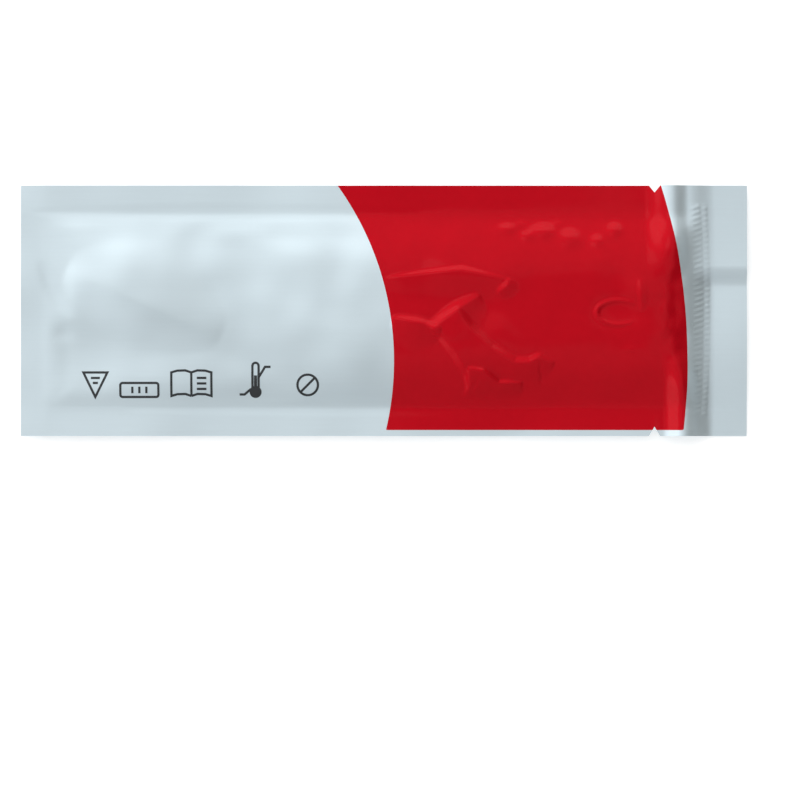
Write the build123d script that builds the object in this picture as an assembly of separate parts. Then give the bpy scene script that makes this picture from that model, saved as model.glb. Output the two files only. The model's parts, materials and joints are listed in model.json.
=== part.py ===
"""Sealed foil pouch that holds one test cassette, lying on its back.

The pouch is two sheets of foil laminate, heat-sealed on all four sides around a flat plastic cassette.
It is closed and opaque, so it is one solid: the flat seal margin, the two films that stand off it round
the contents, the ribbed seal across the mouth and the two tear notches.

Millimetres. +X runs along the pouch to its mouth end, +Y across it and +Z up.
The origin is on the surface that the pouch rests on, under the middle of its outline.
"""

import math
import os

from build123d import *

# Flat outline and film
POUCH_LENGTH = 145.0
POUCH_WIDTH = 50.0
FILM_THICKNESS = 0.12

# Heat seals: two long sides, the foot end at -X and the ribbed band across the mouth at +X
SIDE_SEAL_WIDTH = 6.0
FOOT_SEAL_WIDTH = 5.0
MOUTH_LIP_LENGTH = 7.8
MOUTH_SEAL_WIDTH = 3.0
SEAL_LIFT = 1.4

# Ribs pressed into the mouth seal, each running along X
RIB_PITCH = 1.1
RIB_WIDTH = 0.8
RIB_HEIGHT = 0.14
RIB_SIDE_MARGIN = 3.5

# Tear notches in the two long edges
NOTCH_WIDTH = 2.2
NOTCH_DEPTH = 1.7
NOTCH_FROM_MOUTH = 18.5

# Cassette that shapes the films from inside
CASSETTE_LENGTH = 70.0
CASSETTE_WIDTH = 20.0
CASSETTE_HEIGHT = 5.0
CASSETTE_END_GAP = 4.7

# Hollows that the film sinks into: the cassette's result window and its sample well
HOLLOW_DEPTH = 0.4
WINDOW_LENGTH = 16.0
WINDOW_WIDTH = 6.0
WINDOW_FROM_MOUTH_END = 40.0
WELL_LENGTH = 9.0
WELL_WIDTH = 5.4
WELL_FROM_MOUTH_END = 10.4

# Looser film between the cassette and the foot seal, over the drying sachet
SACHET_RISE = 2.6
SACHET_FOOT_RUN = 12.0
SACHET_TO_CASSETTE_RUN = 16.0

# Slack corner beside the foot seal, where the film has sunk below a slanting fold
SLACK_RISE = 1.1
SLACK_SLOPE = 0.2
SLACK_FOOT_Y = 6.8
SLACK_LENGTH = 60.0

# Creases in the upper film: their height and half-width, and the run of each one
CREASE_HEIGHT = 0.35
CREASE_WIDTH = 2.0
CORNER_CREASE_LENGTH = 18.0
CORNER_CREASE_RISE = 6.0
EDGE_CREASE_LENGTH = 26.0
EDGE_CREASE_INSET = 2.5
WELL_CREASE_LENGTH = 7.0
# Ends of the creases that cross the film beside the result window, from the middle of that window
WINDOW_CREASES = [
    ((-12.0, -2.0), (3.0, 3.0)),
    ((2.0, -1.0), (15.0, -11.0)),
    ((-5.0, -3.0), (1.0, -16.0)),
]

# How tightly the film turns where slopes meet, and the grid that it is drawn on
FILM_TIGHTNESS = 5
FILM_GRID_STEP = 1.25
FILM_TOLERANCE = 0.02

# Heights and places that follow from the sizes above
SEAL_MIDDLE = SEAL_LIFT + FILM_THICKNESS
SEAL_TOP = SEAL_MIDDLE + FILM_THICKNESS
HALF_LENGTH = POUCH_LENGTH / 2
HALF_WIDTH = POUCH_WIDTH / 2
SIDE_INNER_Y = HALF_WIDTH - SIDE_SEAL_WIDTH
FOOT_INNER_X = FOOT_SEAL_WIDTH - HALF_LENGTH
MOUTH_OUTER_X = HALF_LENGTH - MOUTH_LIP_LENGTH
MOUTH_INNER_X = MOUTH_OUTER_X - MOUTH_SEAL_WIDTH
CASSETTE_MOUTH_X = MOUTH_INNER_X - CASSETTE_END_GAP
CASSETTE_FOOT_X = CASSETTE_MOUTH_X - CASSETTE_LENGTH
CASSETTE_EDGE_Y = CASSETTE_WIDTH / 2
CASSETTE_RISE = CASSETTE_HEIGHT + 2 * FILM_THICKNESS - SEAL_TOP
WINDOW_X = CASSETTE_MOUTH_X - WINDOW_FROM_MOUTH_END
WELL_X = CASSETTE_MOUTH_X - WELL_FROM_MOUTH_END

# Each film starts inside the seal, half a film's thickness below its face
RIM_SINK = FILM_THICKNESS / 2
RIM_FOOT_X = FOOT_INNER_X - RIM_SINK
RIM_MOUTH_X = MOUTH_INNER_X + RIM_SINK
RIM_SIDE_Y = SIDE_INNER_Y + RIM_SINK


def crease_ends():
    """Both ends of every crease in the upper film."""
    edge_y = CASSETTE_EDGE_Y - EDGE_CREASE_INSET
    ends = [((WINDOW_X - EDGE_CREASE_LENGTH / 2, edge_y), (WINDOW_X + EDGE_CREASE_LENGTH / 2, edge_y))]
    for side in (1, -1):
        corner = (CASSETTE_FOOT_X, CASSETTE_EDGE_Y * side)
        ends.append((corner, (corner[0] - CORNER_CREASE_LENGTH, corner[1] + CORNER_CREASE_RISE * side)))
    for start, end in WINDOW_CREASES:
        ends.append(((WINDOW_X + start[0], start[1]), (WINDOW_X + end[0], end[1])))
    well_rim_x = WELL_X + WELL_LENGTH / 2
    ends.append(((well_rim_x, 0), (well_rim_x, WELL_CREASE_LENGTH)))
    return ends


CREASE_ENDS = crease_ends()


def soft_min(*heights):
    """Smallest of several heights, with the edges where they cross rounded off; 0 if any is 0."""
    if min(heights) <= 0:
        return 0.0
    lowest = min(heights)
    total = sum((lowest / height) ** FILM_TIGHTNESS for height in heights)
    return lowest * total ** (-1 / FILM_TIGHTNESS)


def smooth_step(value):
    """Rises from 0 to 1 as value goes from 0 to 1, level at both ends."""
    share = min(max(value, 0.0), 1.0)
    return share * share * (3 - 2 * share)


def slopes(x, y, rise):
    """Heights of the film drawn straight from the four seals to contents that stand off by rise."""
    sides = (RIM_SIDE_Y - abs(y)) * rise / (RIM_SIDE_Y - CASSETTE_EDGE_Y)
    mouth = (RIM_MOUTH_X - x) * rise / (RIM_MOUTH_X - CASSETTE_MOUTH_X)
    foot = (x - RIM_FOOT_X) * rise / SACHET_FOOT_RUN
    return sides, mouth, foot


def crown(x):
    """Height of the upper film's middle: full over the cassette, lower over the sachet."""
    share = smooth_step((x - CASSETTE_FOOT_X) / SACHET_TO_CASSETTE_RUN + 1)
    return SACHET_RISE + (CASSETTE_RISE - SACHET_RISE) * share


def slack(x, y):
    """Height that the slack corner lets the upper film reach."""
    tilt = math.atan2(SIDE_INNER_Y + SLACK_FOOT_Y, SLACK_LENGTH)
    beyond_fold = (x - FOOT_INNER_X) * math.sin(tilt) + (y - SLACK_FOOT_Y) * math.cos(tilt)
    return SLACK_RISE + SLACK_SLOPE * max(beyond_fold, 0.0)


def hollow(x, y, middle_x, length, width):
    """Depth of the film inside one oval hollow, fading out over its rim."""
    reach = math.hypot((x - middle_x) / length, y / width) * 2
    return HOLLOW_DEPTH * (1 - smooth_step(reach - 0.5))


def crease(x, y, start, end):
    """Height of one crease, full at its middle and fading to its ends and sides."""
    run_x, run_y = end[0] - start[0], end[1] - start[1]
    share = ((x - start[0]) * run_x + (y - start[1]) * run_y) / (run_x**2 + run_y**2)
    share = min(max(share, 0.0), 1.0)
    off = math.hypot(x - start[0] - share * run_x, y - start[1] - share * run_y)
    return CREASE_HEIGHT * math.sin(math.pi * share) * math.exp(-((off / CREASE_WIDTH) ** 2))


def top_film(x, y):
    """Height of the upper film."""
    rise = crown(x) + RIM_SINK
    drawn = soft_min(*slopes(x, y, rise), rise, slack(x, y) + RIM_SINK)
    sunk = hollow(x, y, WINDOW_X, WINDOW_LENGTH, WINDOW_WIDTH)
    sunk += hollow(x, y, WELL_X, WELL_LENGTH, WELL_WIDTH)
    raised = sum(crease(x, y, start, end) for start, end in CREASE_ENDS)
    return SEAL_TOP - RIM_SINK + drawn + (raised - sunk) * smooth_step(drawn / rise)


def bottom_film(x, y):
    """Height of the lower film, which goes on below the resting surface that trims it flat."""
    return SEAL_LIFT + RIM_SINK - soft_min(*slopes(x, y, SEAL_LIFT + RIM_SINK))


def steps(low, high):
    """Evenly spaced grid values from low to high."""
    count = math.ceil((high - low) / FILM_GRID_STEP)
    return [low + (high - low) * i / count for i in range(count + 1)]


def film_face(height):
    """Face of one film from rim to rim, drawn through a grid of its heights."""
    ys = steps(-RIM_SIDE_Y, RIM_SIDE_Y)
    grid = [[(x, y, height(x, y)) for y in ys] for x in steps(RIM_FOOT_X, RIM_MOUTH_X)]
    return Face.make_surface_from_array_of_points(grid, tol=FILM_TOLERANCE, min_deg=3, max_deg=3)


def slab(low, high):
    """Block over the whole outline between two heights."""
    block = Box(POUCH_LENGTH, POUCH_WIDTH, high - low, align=(Align.CENTER, Align.CENTER, Align.MIN))
    return Pos(0, 0, low) * block


def filled_films():
    """Space under the upper film and space over the lower one, parted at the middle of the seal."""
    height = CASSETTE_HEIGHT + SEAL_TOP
    upper = Solid.extrude(film_face(top_film), Vector(0, 0, -height)) & slab(SEAL_MIDDLE, height)
    lower = Solid.extrude(film_face(bottom_film), Vector(0, 0, height)) & slab(0, SEAL_MIDDLE)
    return upper, lower


def rib_comb(level):
    """Row of three-sided ribs that stand up from a level, joined by a strip just below it."""
    root = FILM_THICKNESS / 4
    half = RIB_WIDTH / 2 * (1 + root / RIB_HEIGHT)
    count = int((POUCH_WIDTH - 2 * RIB_SIDE_MARGIN) / RIB_PITCH)
    first = -(count - 1) * RIB_PITCH / 2
    outline = []
    for i in range(count):
        y = first + i * RIB_PITCH
        outline += [(y - half, -root), (y, RIB_HEIGHT), (y + half, -root)]
    outline += [(first + (count - 1) * RIB_PITCH + half, -2 * root), (first - half, -2 * root)]
    profile = Plane.YZ * make_face(Polyline(outline, close=True))
    return Pos(MOUTH_INNER_X, 0, level) * extrude(profile, MOUTH_SEAL_WIDTH)


def tear_notch(side):
    """Wedge that cuts the notch into one long edge; side is 1 for +Y and -1 for -Y."""
    outside = NOTCH_DEPTH / 2
    half_mouth = NOTCH_WIDTH / 2 * (1 + outside / NOTCH_DEPTH)
    edge_y = HALF_WIDTH * side
    corners = [
        (-half_mouth, edge_y + outside * side),
        (half_mouth, edge_y + outside * side),
        (0, edge_y - NOTCH_DEPTH * side),
    ]
    wedge = make_face(Polyline(corners, close=True))
    return Pos(HALF_LENGTH - NOTCH_FROM_MOUTH, 0, 0) * extrude(wedge, SEAL_TOP + SEAL_LIFT, dir=(0, 0, 1))


def foil_pouch():
    """The whole pouch as one solid."""
    upper, lower = filled_films()
    pouch = slab(SEAL_LIFT, SEAL_TOP) + upper + lower
    pouch -= [tear_notch(1), tear_notch(-1)]
    pouch += rib_comb(SEAL_TOP)
    pouch -= rib_comb(SEAL_LIFT)
    return pouch.solid()


def main():
    """Writes the pouch to its file."""
    os.makedirs("parts", exist_ok=True)
    export_step(foil_pouch(), "parts/foil_pouch.step")


if __name__ == "__main__":
    main()
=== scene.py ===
"""Looks of a sealed foil pouch that holds one test cassette and lies on its back.

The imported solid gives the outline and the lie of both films. This script draws them again as one fine
closed mesh, with the waves, folds and pressed ribs of real foil laminate, and prints the front with a red
field and a row of small pictograms. A plain studio and a camera that looks straight down complete it.

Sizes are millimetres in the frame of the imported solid: +X to the pouch's mouth, +Y across it, +Z up.
"""

import json
import logging
import math
from collections.abc import Sequence
from dataclasses import dataclass, field
from enum import Enum
from typing import Any

import bpy
import numpy as np
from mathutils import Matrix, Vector
from mathutils.bvhtree import BVHTree

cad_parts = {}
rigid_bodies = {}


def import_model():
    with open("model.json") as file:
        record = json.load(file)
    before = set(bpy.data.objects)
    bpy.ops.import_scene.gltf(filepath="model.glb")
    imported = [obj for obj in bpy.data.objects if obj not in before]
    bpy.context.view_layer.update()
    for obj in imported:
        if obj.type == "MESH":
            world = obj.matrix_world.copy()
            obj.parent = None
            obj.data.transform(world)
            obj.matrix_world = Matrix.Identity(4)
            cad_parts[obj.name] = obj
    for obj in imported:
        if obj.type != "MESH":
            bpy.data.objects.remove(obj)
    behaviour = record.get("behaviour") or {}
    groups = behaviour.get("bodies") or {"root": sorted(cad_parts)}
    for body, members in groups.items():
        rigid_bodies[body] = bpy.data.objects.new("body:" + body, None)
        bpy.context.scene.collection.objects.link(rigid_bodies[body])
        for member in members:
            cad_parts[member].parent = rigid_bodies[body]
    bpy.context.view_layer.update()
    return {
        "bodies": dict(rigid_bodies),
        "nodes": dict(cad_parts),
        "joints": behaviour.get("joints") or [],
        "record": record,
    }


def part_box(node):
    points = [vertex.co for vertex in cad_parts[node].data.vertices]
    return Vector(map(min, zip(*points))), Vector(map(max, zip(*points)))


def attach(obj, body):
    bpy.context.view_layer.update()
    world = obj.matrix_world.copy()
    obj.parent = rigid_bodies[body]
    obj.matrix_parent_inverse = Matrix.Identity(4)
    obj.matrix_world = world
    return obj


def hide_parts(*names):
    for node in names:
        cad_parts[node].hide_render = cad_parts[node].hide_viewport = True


LOG = logging.getLogger("foil_pouch")
MM = 0.001
BODY = "root"
NODE = "foil_pouch"

Point = tuple[float, float]
Path = tuple[Point, ...]
Cuts = dict[tuple[int, int], int]


class Face(Enum):
    """The two films of the pouch, by the way each one faces."""

    FRONT = 1
    BACK = -1


class Finish(Enum):
    """Material slots of the film's mesh, in order."""

    FOIL = 0
    RED = 1


def linear_colour(code: str) -> tuple[float, float, float, float]:
    """Turns an sRGB hex colour into linear light.

    Args:
        code: Colour as "#RRGGBB".

    Returns:
        Linear red, green and blue, and an alpha of 1.
    """
    parts = [int(code[i : i + 2], 16) / 255 for i in (1, 3, 5)]
    red, green, blue = (p / 12.92 if p <= 0.04045 else ((p + 0.055) / 1.055) ** 2.4 for p in parts)
    return red, green, blue, 1.0


def add_node(
    tree: bpy.types.NodeTree,
    kind: str,
    settings: dict[str, Any] | None = None,
    inputs: dict[str | int, Any] | None = None,
) -> bpy.types.Node:
    """Adds one node with its settings, input values and links.

    Args:
        tree: Node tree that gets the node.
        kind: Blender's name for the kind of node.
        settings: Properties of the node.
        inputs: For each input, by name or number, its value or the socket that feeds it.

    Returns:
        The new node.
    """
    node = tree.nodes.new(kind)
    for name, value in (settings or {}).items():
        setattr(node, name, value)
    for key, value in (inputs or {}).items():
        if isinstance(value, bpy.types.NodeSocket):
            tree.links.new(value, node.inputs[key])
        else:
            node.inputs[key].default_value = value
    return node


def new_material(name: str) -> tuple[bpy.types.Material, bpy.types.NodeTree]:
    """Makes an empty node material.

    Args:
        name: Name of the material.

    Returns:
        The material and its node tree.
    """
    material = bpy.data.materials.new(name)
    material.use_nodes = True
    material.node_tree.nodes.clear()
    return material, material.node_tree


def place_object(name: str, data: bpy.types.ID) -> bpy.types.Object:
    """Makes an object and links it to the scene.

    Args:
        name: Name of the object.
        data: Its mesh, light or camera.

    Returns:
        The object.
    """
    placed = bpy.data.objects.new(name, data)
    bpy.context.scene.collection.objects.link(placed)
    return placed


def mesh_object(
    name: str,
    vertices: np.ndarray,
    faces: Sequence[Sequence[int]],
    materials: Sequence[bpy.types.Material],
) -> bpy.types.Object:
    """Makes a smooth-shaded mesh object from points in millimetres.

    Args:
        name: Name of the object and its mesh.
        vertices: Points, one row each.
        faces: Point numbers of each face.
        materials: Materials in the order of their slots.

    Returns:
        The object, linked to the scene.
    """
    mesh = bpy.data.meshes.new(name)
    mesh.from_pydata((vertices * MM).tolist(), [], faces)
    mesh.polygons.foreach_set("use_smooth", np.ones(len(mesh.polygons), dtype=bool))
    for material in materials:
        mesh.materials.append(material)
    return place_object(name, mesh)


def drop_spare_points(
    points: np.ndarray, faces: Sequence[Sequence[int]]
) -> tuple[np.ndarray, list[list[int]]]:
    """Leaves out the points that no face uses.

    Args:
        points: Points, one row each.
        faces: Point numbers of each face.

    Returns:
        The points that are left, and the faces with their new point numbers.
    """
    used = np.zeros(len(points), dtype=bool)
    for corners in faces:
        used[corners] = True
    renumbered = np.cumsum(used) - 1
    return points[used], [renumbered[corners].tolist() for corners in faces]


def ramp(value: np.ndarray, start: float | np.ndarray, end: float | np.ndarray) -> np.ndarray:
    """Goes from 0 where value is at start to 1 where it is at end, level at both ends."""
    share = np.clip((value - start) / (end - start), 0.0, 1.0)
    return share * share * (3 - 2 * share)


def soft_slope(distance: np.ndarray) -> np.ndarray:
    """Falls evenly from 1 at distance 0 to 0 at distance 1, with a small round at the foot."""
    foot = 0.08
    return foot * np.logaddexp(0.0, (1 - distance) / foot)


def oval_distance(x: np.ndarray, y: np.ndarray, middle: Point, reach: Point) -> np.ndarray:
    """Distance of each place from an oval's centre, where 1 is on the oval."""
    return np.hypot((x - middle[0]) / reach[0], (y - middle[1]) / reach[1])


def smoothing_weights(places: np.ndarray, samples: np.ndarray, radius: float) -> np.ndarray:
    """Works out how to blend evenly spaced samples into smooth values at other places.

    Args:
        places: Places that need a value.
        samples: Places of the samples.
        radius: Standard deviation of the smoothing.

    Returns:
        One row of weights for each place.
    """
    weights = np.exp(-0.5 * ((places[:, None] - samples[None, :]) / radius) ** 2)
    return weights / weights.sum(axis=1, keepdims=True)


def oval_arc(middle: Point, half: Point, start: float, end: float, corners: int) -> Path:
    """Corners of a stretch of an oval.

    Args:
        middle: Centre of the oval.
        half: Its half-length along the pouch and half-width across it.
        start: Angle of the stretch's start, in degrees.
        end: Angle of its end, in degrees.
        corners: Number of corners.

    Returns:
        The corners, from start to end.
    """
    turns = np.radians(np.linspace(start, end, corners))
    return tuple((middle[0] + half[0] * math.cos(t), middle[1] + half[1] * math.sin(t)) for t in turns)


def ring(middle: Point, radius: float, corners: int) -> Path:
    """Corners of a whole circle."""
    return oval_arc(middle, (radius, radius), 0, 360 - 360 / corners, corners)


@dataclass(frozen=True)
class Fold:
    """One crease of the film: a lopsided ridge along a path, or a valley where its height is negative.

    Attributes:
        path: Corners of the crease's line.
        height: Height in the middle of its length.
        left: Width of its flank on the left of the path.
        right: Width of its flank on the right of the path.
        crest: Radius that rounds the crest.
        taper: How gently the crease runs out at its ends.
        end_width: Share of its flanks' width that is left at its ends.
    """

    path: Path
    height: float
    left: float
    right: float
    crest: float = 0.12
    taper: float = 0.5
    end_width: float = 0.3

    def lift(self, x: np.ndarray, y: np.ndarray) -> np.ndarray:
        """Works out how much the crease raises the film.

        Args:
            x: Grid of places along the pouch.
            y: Grid of places across the pouch.

        Returns:
            Heights on the same grid.
        """
        nearest = np.full(x.shape, np.inf)
        along = np.zeros(x.shape)
        width = np.ones(x.shape)
        lengths = [math.dist(a, b) for a, b in zip(self.path, self.path[1:])]
        done = 0.0
        for (ax, ay), (bx, by), length in zip(self.path, self.path[1:], lengths):
            share = np.clip(((x - ax) * (bx - ax) + (y - ay) * (by - ay)) / length**2, 0, 1)
            off = np.hypot(x - ax - share * (bx - ax), y - ay - share * (by - ay))
            closer = off < nearest
            nearest = np.where(closer, off, nearest)
            along = np.where(closer, (done + share * length) / sum(lengths), along)
            turn = (bx - ax) * (y - ay) - (by - ay) * (x - ax)
            width = np.where(closer, np.where(turn > 0, self.left, self.right), width)
            done += length
        strength = np.sin(np.pi * np.clip(along, 0, 1)) ** self.taper
        narrowing = self.end_width + (1 - self.end_width) * strength
        from_crest = np.hypot(nearest, self.crest) - self.crest
        return self.height * strength * soft_slope(from_crest / (width * narrowing))


@dataclass(frozen=True)
class Bump:
    """One oval swelling of the film, or a hollow where its height is negative.

    Attributes:
        middle: Its centre.
        reach: Its half-length along the pouch and half-width across it.
        height: Height at its centre.
    """

    middle: Point
    reach: Point
    height: float

    def lift(self, x: np.ndarray, y: np.ndarray) -> np.ndarray:
        """Works out how much the swelling raises the film.

        Args:
            x: Grid of places along the pouch.
            y: Grid of places across the pouch.

        Returns:
            Heights on the same grid.
        """
        off = oval_distance(x, y, self.middle, self.reach)
        return self.height * np.exp(-(off**2))


@dataclass(frozen=True)
class Crumple:
    """Patch of film that was crushed and let go: small flat facets that meet in short bent creases.

    Attributes:
        middle: Centre of the patch.
        reach: Its half-length along the pouch and half-width across it.
        facet: Usual size of a facet.
        slope: Slope that each set of creases gives to a facet.
        seed: Start of the random draws.
        sets: Number of sets of creases, each running another way.
        turn_spread: Most that a set strays from its way, as a share of the turn to the next set.
        length_spread: Smallest and largest facet, as a share of the usual size.
        bend: How far a crease swings aside, as a share of a facet.
        bend_rate: Slowest and quickest swing of a crease, in radians for each facet.
        bend_start: Latest start of the swing, in radians.
        sharpness: Sharpness of the creases, where 1 is a knife edge.
        fade: Where the patch starts to fade and where it ends, as a share of its reach.
    """

    middle: Point
    reach: Point
    facet: float
    slope: float
    seed: int
    sets: int = 4
    turn_spread: float = 0.3
    length_spread: Point = (0.8, 1.5)
    bend: float = 0.35
    bend_rate: Point = (0.7, 1.1)
    bend_start: float = 6.0
    sharpness: float = 0.985
    fade: Point = (0.55, 1.0)

    def lift(self, x: np.ndarray, y: np.ndarray) -> np.ndarray:
        """Works out how much the patch raises and sinks the film.

        Args:
            x: Grid of places along the pouch.
            y: Grid of places across the pouch.

        Returns:
            Heights on the same grid.
        """
        draws = np.random.default_rng(self.seed)
        total = np.zeros(x.shape)
        for number in range(self.sets):
            turn = math.pi * (number + draws.uniform(-self.turn_spread, self.turn_spread)) / self.sets
            length = 2 * self.facet * draws.uniform(*self.length_spread)
            ahead = x * math.cos(turn) + y * math.sin(turn)
            aside = y * math.cos(turn) - x * math.sin(turn)
            swing = aside * draws.uniform(*self.bend_rate) / self.facet + draws.uniform(0, self.bend_start)
            bend = self.bend * self.facet * np.sin(swing)
            run = (ahead + bend) * math.tau / length + draws.uniform(0, math.tau)
            total += self.slope * length / math.tau * np.arcsin(self.sharpness * np.sin(run))
        return total * (1 - ramp(oval_distance(x, y, self.middle, self.reach), *self.fade))


@dataclass(frozen=True)
class Wave:
    """One sine wave.

    Attributes:
        height: Height of its crests.
        length: Distance from crest to crest.
        start: How far along the wave the run begins.
    """

    height: float
    length: float
    start: float = 0.0

    def lift(self, run: np.ndarray) -> np.ndarray:
        """Height of the wave along a run."""
        return self.height * np.sin(math.tau * (run + self.start) / self.length)


@dataclass(frozen=True)
class EdgeWaves:
    """Slow waves of the flat seals along the two long edges and the foot, growing towards the cut edge.

    Attributes:
        side_seal: Width of the seals along the long edges.
        foot_seal: Width of the seal across the foot end.
        upper: Waves of the upper long edge.
        lower: Waves of the lower long edge.
        foot: Waves of the foot edge.
        edge_height: Mean height of the upper, the lower and the foot edge, negative where the edge hangs.
    """

    side_seal: float = 6.0
    foot_seal: float = 5.0
    upper: tuple[Wave, ...] = (Wave(0.16, 60.0, 5.7), Wave(0.1, 33.0, 10.6), Wave(0.05, 18.0))
    lower: tuple[Wave, ...] = (Wave(0.15, 51.0, 17.8), Wave(0.1, 29.0, 1.4), Wave(0.05, 16.0, 2.6))
    foot: tuple[Wave, ...] = (Wave(0.12, 29.5, 4.7), Wave(0.08, 16.3))
    edge_height: tuple[float, float, float] = (-0.12, 0.2, -0.2)

    def lift(self, x: np.ndarray, y: np.ndarray, low: np.ndarray, high: np.ndarray) -> np.ndarray:
        """Works out how much the waves raise the seals.

        Args:
            x: Grid of places along the pouch.
            y: Grid of places across the pouch.
            low: Lowest corner of the pouch.
            high: Highest corner of the pouch.

        Returns:
            Heights on the same grid.
        """
        outward = np.clip((np.abs(y) - high[1]) / self.side_seal + 1, 0, 1)
        footward = np.clip((low[0] - x) / self.foot_seal + 1, 0, 1)
        upper_share = ramp(y, -high[1], high[1])
        upper = sum(wave.lift(x) for wave in self.upper) + self.edge_height[0]
        lower = sum(wave.lift(x) for wave in self.lower) + self.edge_height[1]
        foot = sum(wave.lift(y) for wave in self.foot) + self.edge_height[2]
        return outward * (upper * upper_share + lower * (1 - upper_share)) + footward * foot


@dataclass(frozen=True)
class MouthBend:
    """Ridge that the cassette's end pushes up across the pouch, and the drop to the flap behind it.

    Each pair of sizes is for the upper and for the lower long edge.

    Attributes:
        crest_x: Place of the ridge along the pouch.
        rise_run: Length of its slope on the cassette's side.
        fall_run: Length of its slope on the mouth's side.
        crest_height: Height of the ridge at the long edges.
        middle_height: Height of the ridge over the middle of the pouch.
        grows_from: Distance from the middle where the ridge starts to grow, and where it is full.
        turn: Where the lower edge's form ends and where the upper edge's is full.
        shelf_height: Height of the narrow shelf between the ridge and the ribbed seal.
        flap_x: Where the flap starts to fall from the shelf, and where it hangs lowest.
        flap_drop: How far the flap hangs below the seals.
    """

    crest_x: Point = (57.4, 59.6)
    rise_run: Point = (5.5, 4.0)
    fall_run: Point = (3.4, 3.4)
    crest_height: Point = (1.9, 1.9)
    middle_height: float = 0.08
    grows_from: Point = (5.0, 15.0)
    turn: Point = (-14.0, 2.0)
    shelf_height: float = 0.7
    flap_x: Point = (60.8, 66.0)
    flap_drop: float = 1.6

    def lift(self, x: np.ndarray, y: np.ndarray) -> np.ndarray:
        """Works out how much the bend raises and drops the film.

        Args:
            x: Grid of places along the pouch.
            y: Grid of places across the pouch.

        Returns:
            Heights on the same grid.
        """
        upper = ramp(y, *self.turn)
        crest_x, rise_run, fall_run, full = (
            pair[0] * upper + pair[1] * (1 - upper)
            for pair in (self.crest_x, self.rise_run, self.fall_run, self.crest_height)
        )
        height = self.middle_height + (full - self.middle_height) * ramp(np.abs(y), *self.grows_from)
        rise = ramp(x, crest_x - rise_run, crest_x)
        fall = ramp(x, crest_x, crest_x + fall_run)
        on_shelf = height * rise - (height - self.shelf_height) * fall
        return on_shelf - (self.shelf_height + self.flap_drop) * ramp(x, *self.flap_x)


@dataclass(frozen=True)
class LipWave:
    """Wave of the loose lip beyond the ribbed seal: high, then a steep fall, a trough and a low swell.

    Attributes:
        runs_from: Where along the pouch the wave starts, and where it is full.
        fall_height: Height of the steep fall.
        fall_y: Foot and top of the fall across the pouch.
        swell: The low swell below the trough.
    """

    runs_from: Point = (60.8, 66.0)
    fall_height: float = 1.3
    fall_y: Point = (4.8, 9.0)
    swell: Bump = Bump((72.5, -6.0), (14.0, 14.0), 1.3)

    def lift(self, x: np.ndarray, y: np.ndarray) -> np.ndarray:
        """Works out how much the wave raises the lip.

        Args:
            x: Grid of places along the pouch.
            y: Grid of places across the pouch.

        Returns:
            Heights on the same grid.
        """
        fall = self.fall_height * ramp(y, *self.fall_y)
        return ramp(x, *self.runs_from) * (fall + self.swell.lift(x, y))


@dataclass(frozen=True)
class SealRibs:
    """Ribs that the sealing jaws press into the mouth: two rows of short saw-toothed strokes.

    Attributes:
        band: Start and end of the ribbed seal along the pouch.
        parting: Place of the faint line between the two rows.
        parting_depth: Share of a rib's height that is lost there.
        bow: How far the seal's middle bows towards the mouth.
        pitch: Spacing of the ribs.
        height: Height of a rib.
        steep: Share of the pitch that a rib's steep flank takes.
        margin: Plain seal beside the ribs at each long edge.
        drawn: Length over which the ribs run out into the film.
        soft: Length over which a rib comes up at its other end.
        lean: Sideways drift of the first row for each millimetre along the pouch.
        uneven: How the pressure of the jaws varies across the pouch.
    """

    band: Point = (61.7, 64.3)
    parting: float = 63.0
    parting_depth: float = 0.7
    bow: float = 0.9
    pitch: float = 1.08
    height: float = 0.11
    steep: float = 0.3
    margin: float = 3.5
    drawn: float = 1.2
    soft: float = 0.4
    lean: float = 0.3
    uneven: Wave = Wave(0.3, 19.5, 2.5)

    def lift(self, x: np.ndarray, y: np.ndarray, half_width: float) -> np.ndarray:
        """Works out how much the ribs raise both films.

        Args:
            x: Grid of places along the pouch.
            y: Grid of places across the pouch.
            half_width: Half the pouch's width.

        Returns:
            Heights on the same grid.
        """
        start, end = self.band
        last_rib = half_width - self.margin
        run = x - self.bow * (1 - (y / half_width) ** 2)
        window = ramp(run, start - self.drawn, start) * ramp(run, end, end - self.soft)
        inside = ramp(np.abs(y), last_rib, last_rib - self.soft)
        parted = 1 - self.parting_depth * np.exp(-(((run - self.parting) / self.soft) ** 2))
        second_row = ramp(run, self.parting - self.soft / 2, self.parting + self.soft / 2)
        drift = self.lean * np.clip(self.parting - run, 0, None) + second_row * self.pitch / 2
        share = np.mod((y + drift) / self.pitch, 1.0)
        tooth = np.minimum(share / self.steep, (1 - share) / (1 - self.steep))
        return self.height * window * inside * parted * tooth * (1 + self.uneven.lift(y))


@dataclass(frozen=True)
class TearNotches:
    """Tear notches in the two long edges.

    Attributes:
        x: Place of both along the pouch.
        half: Half the width of a notch at the edge.
        depths: Depth of the notch in the lower and in the upper long edge.
        reach: Width of the strip of mesh that makes room for a notch.
    """

    x: float = 54.0
    half: float = 1.1
    depths: Point = (1.9, 1.4)
    reach: float = 5.0

    def draw_in(self, x: np.ndarray, y: np.ndarray, half_width: float) -> np.ndarray:
        """Draws the mesh in where the notches are.

        Args:
            x: Grid of places along the pouch.
            y: Grid of places across the pouch.
            half_width: Half the pouch's width.

        Returns:
            The changed places across the pouch.
        """
        moved = y.copy()
        wedge = np.clip(1 - np.abs(x - self.x) / self.half, 0, 1)
        for side, depth in zip((-1, 1), self.depths):
            near = np.clip(1 - np.abs(y - half_width * side) / self.reach, 0, 1)
            moved -= side * depth * wedge * near
        return moved


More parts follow.
